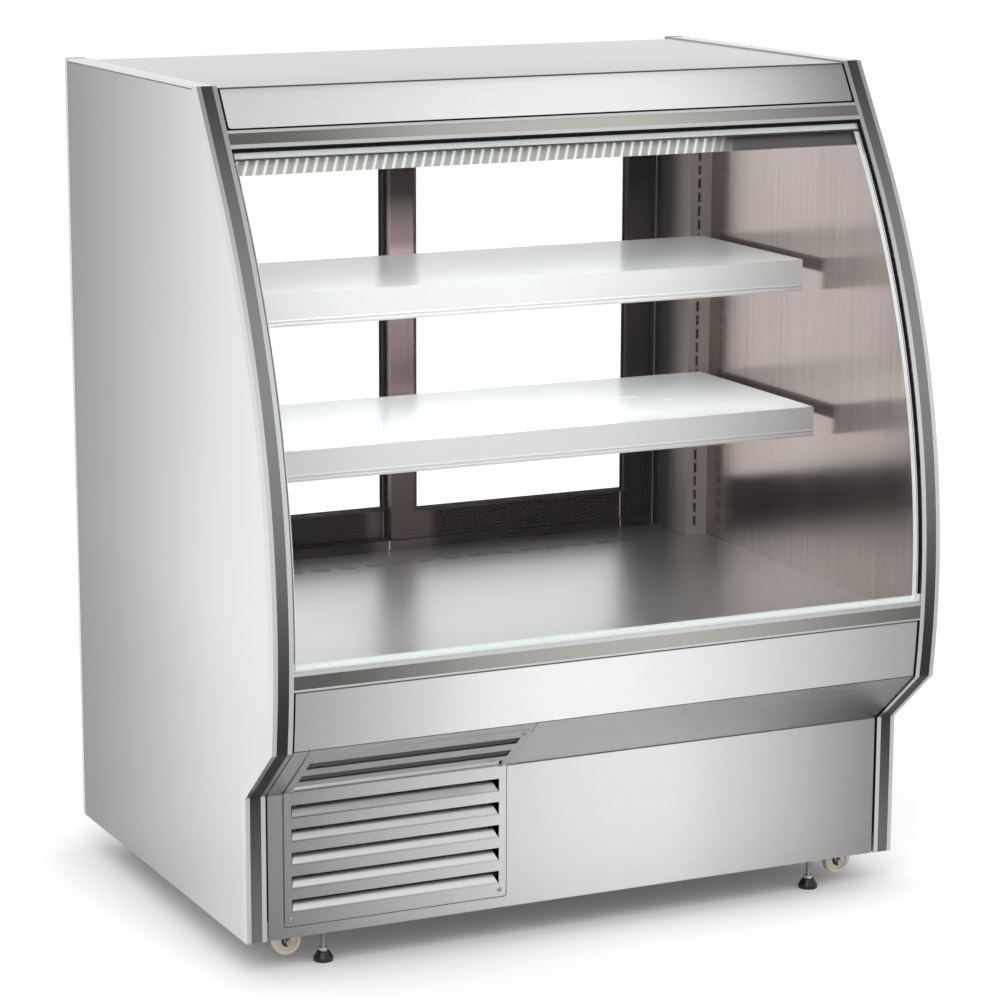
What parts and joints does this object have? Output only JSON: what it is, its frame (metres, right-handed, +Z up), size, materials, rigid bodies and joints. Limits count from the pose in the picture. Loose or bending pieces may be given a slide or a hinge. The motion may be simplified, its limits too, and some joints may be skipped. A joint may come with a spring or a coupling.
{
  "type": "refrigerated display case",
  "caption": "Refrigerated counter with bent double glass across a bowed front, steel end panels, glass shelves, louvred grille, sliding rear doors, casters and levelling feet.",
  "frame": {"origin": "centre of the footprint on the floor under the levelling feet", "axes": "+X to the customer's right, +Y to the rear doors, +Z up; the bent glass faces -Y"},
  "size_m": [1.219, 0.9409, 1.428],
  "materials": {
    "skin_steel": "satin",
    "liner_steel": "polished",
    "panel_steel": "satin",
    "trim_aluminium": "satin",
    "insert_vinyl": "satin",
    "clear_glass": "gloss",
    "spacer_aluminium": "satin",
    "black_seal": "matte",
    "grille_steel": "satin",
    "screw_steel": "polished",
    "foam": "matte",
    "coil_aluminium": "satin",
    "fan_plastic": "matte",
    "frame_paint": "satin",
    "compressor_paint": "gloss",
    "copper": "polished",
    "tray_plastic": "matte",
    "control_plastic": "satin",
    "switch_plastic": "gloss",
    "dark_aluminium": "satin",
    "door_pane": "gloss",
    "rear_paint": "satin",
    "white_paint": "satin",
    "shelf_pane": "gloss",
    "lamp_diffuser": "matte",
    "zinc": "satin",
    "wheel_plastic": "satin",
    "foot_steel": "satin"
  },
  "bodies": {
    "cabinet": {"end_skin_left": "skin_steel", "end_skin_right": "skin_steel", "end_liners": "liner_steel", "end_trims": "trim_aluminium", "trim_inserts": "insert_vinyl", "cross_rails": "trim_aluminium", "glass_outer_pane": "clear_glass", "glass_inner_pane": "clear_glass", "glass_spacer": "spacer_aluminium", "glass_seals": "black_seal", "header_panel": "panel_steel", "top_panel": "skin_steel", "canopy_panel": "white_paint", "front_panel": "panel_steel", "underside_panel": "panel_steel", "kick_panel": "panel_steel", "grille": "grille_steel", "panel_screws": "screw_steel", "foam_cores": "foam", "well_liner": "liner_steel", "deck_pan": "skin_steel", "evaporator_coil": "coil_aluminium", "evaporator_fan_plate": "liner_steel", "base_frame": "frame_paint", "compressor": "compressor_paint", "condenser_coil": "coil_aluminium", "condenser_shroud": "frame_paint", "refrigerant_lines": "copper", "drain_pan": "tray_plastic", "rear_vent_panel": "rear_paint", "control_box": "control_plastic", "rear_frame": "dark_aluminium", "corner_posts": "white_paint", "shelf_brackets": "white_paint", "lower_shelf_tray": "white_paint", "lower_shelf_glass": "shelf_pane", "upper_shelf_tray": "white_paint", "upper_shelf_glass": "shelf_pane", "led_lamps": "lamp_diffuser", "caster_plates": "zinc"},
    "left_door": {"left_door_frame": "dark_aluminium", "left_door_glass": "door_pane"},
    "right_door": {"right_door_frame": "dark_aluminium", "right_door_glass": "door_pane"},
    "evaporator_fan_left": {"evaporator_fan_left": "fan_plastic"},
    "evaporator_fan_right": {"evaporator_fan_right": "fan_plastic"},
    "condenser_fan": {"condenser_fan": "fan_plastic"},
    "light_switch": {"light_switch": "switch_plastic"},
    "caster_fork_front_left": {"caster_fork_front_left": "zinc"},
    "caster_wheel_front_left": {"caster_wheel_front_left": "wheel_plastic"},
    "foot_front_left": {"foot_front_left": "foot_steel"},
    "caster_fork_front_right": {"caster_fork_front_right": "zinc"},
    "caster_wheel_front_right": {"caster_wheel_front_right": "wheel_plastic"},
    "foot_front_right": {"foot_front_right": "foot_steel"},
    "caster_fork_rear_left": {"caster_fork_rear_left": "zinc"},
    "caster_wheel_rear_left": {"caster_wheel_rear_left": "wheel_plastic"},
    "foot_rear_left": {"foot_rear_left": "foot_steel"},
    "caster_fork_rear_right": {"caster_fork_rear_right": "zinc"},
    "caster_wheel_rear_right": {"caster_wheel_rear_right": "wheel_plastic"},
    "foot_rear_right": {"foot_rear_right": "foot_steel"}
  },
  "joints": [
    {"name": "left_door_slide", "type": "slide", "parent": "cabinet", "child": "left_door", "axis": [1, 0, 0], "range_m": [0, 0.47]},
    {"name": "right_door_slide", "type": "slide", "parent": "cabinet", "child": "right_door", "axis": [1, 0, 0], "range_m": [-0.47, 0]},
    {"name": "evaporator_fan_left_spin", "type": "hinge", "parent": "cabinet", "child": "evaporator_fan_left", "pos_m": [-0.17, -0.0405, 0.433], "axis": [0, 1, 0], "continuous": true},
    {"name": "evaporator_fan_right_spin", "type": "hinge", "parent": "cabinet", "child": "evaporator_fan_right", "pos_m": [0.17, -0.0405, 0.433], "axis": [0, 1, 0], "continuous": true},
    {"name": "condenser_fan_spin", "type": "hinge", "parent": "cabinet", "child": "condenser_fan", "pos_m": [-0.3425, -0.2455, 0.20875], "axis": [0, 1, 0], "continuous": true},
    {"name": "light_switch_rock", "type": "hinge", "parent": "cabinet", "child": "light_switch", "pos_m": [0.382, 0.4425, 0.228], "axis": [1, 0, 0], "range_deg": [-20, 0]},
    {"name": "caster_swivel_front_left", "type": "hinge", "parent": "cabinet", "child": "caster_fork_front_left", "pos_m": [-0.512, -0.2985, 0.076], "axis": [0, 0, 1], "continuous": true},
    {"name": "caster_roll_front_left", "type": "hinge", "parent": "caster_fork_front_left", "child": "caster_wheel_front_left", "pos_m": [-0.524, -0.2985, 0.041], "axis": [0, 1, 0], "continuous": true},
    {"name": "foot_screw_front_left", "type": "slide", "parent": "cabinet", "child": "foot_front_left", "axis": [0, 0, 1], "range_m": [-0.01, 0.02]},
    {"name": "caster_swivel_front_right", "type": "hinge", "parent": "cabinet", "child": "caster_fork_front_right", "pos_m": [0.512, -0.2985, 0.076], "axis": [0, 0, 1], "continuous": true},
    {"name": "caster_roll_front_right", "type": "hinge", "parent": "caster_fork_front_right", "child": "caster_wheel_front_right", "pos_m": [0.524, -0.2985, 0.041], "axis": [0, 1, 0], "continuous": true},
    {"name": "foot_screw_front_right", "type": "slide", "parent": "cabinet", "child": "foot_front_right", "axis": [0, 0, 1], "range_m": [-0.01, 0.02]},
    {"name": "caster_swivel_rear_left", "type": "hinge", "parent": "cabinet", "child": "caster_fork_rear_left", "pos_m": [-0.512, 0.3985, 0.076], "axis": [0, 0, 1], "continuous": true},
    {"name": "caster_roll_rear_left", "type": "hinge", "parent": "caster_fork_rear_left", "child": "caster_wheel_rear_left", "pos_m": [-0.524, 0.3985, 0.041], "axis": [0, 1, 0], "continuous": true},
    {"name": "foot_screw_rear_left", "type": "slide", "parent": "cabinet", "child": "foot_rear_left", "axis": [0, 0, 1], "range_m": [-0.01, 0.02]},
    {"name": "caster_swivel_rear_right", "type": "hinge", "parent": "cabinet", "child": "caster_fork_rear_right", "pos_m": [0.512, 0.3985, 0.076], "axis": [0, 0, 1], "continuous": true},
    {"name": "caster_roll_rear_right", "type": "hinge", "parent": "caster_fork_rear_right", "child": "caster_wheel_rear_right", "pos_m": [0.524, 0.3985, 0.041], "axis": [0, 1, 0], "continuous": true},
    {"name": "foot_screw_rear_right", "type": "slide", "parent": "cabinet", "child": "foot_rear_right", "axis": [0, 0, 1], "range_m": [-0.01, 0.02]}
  ]
}
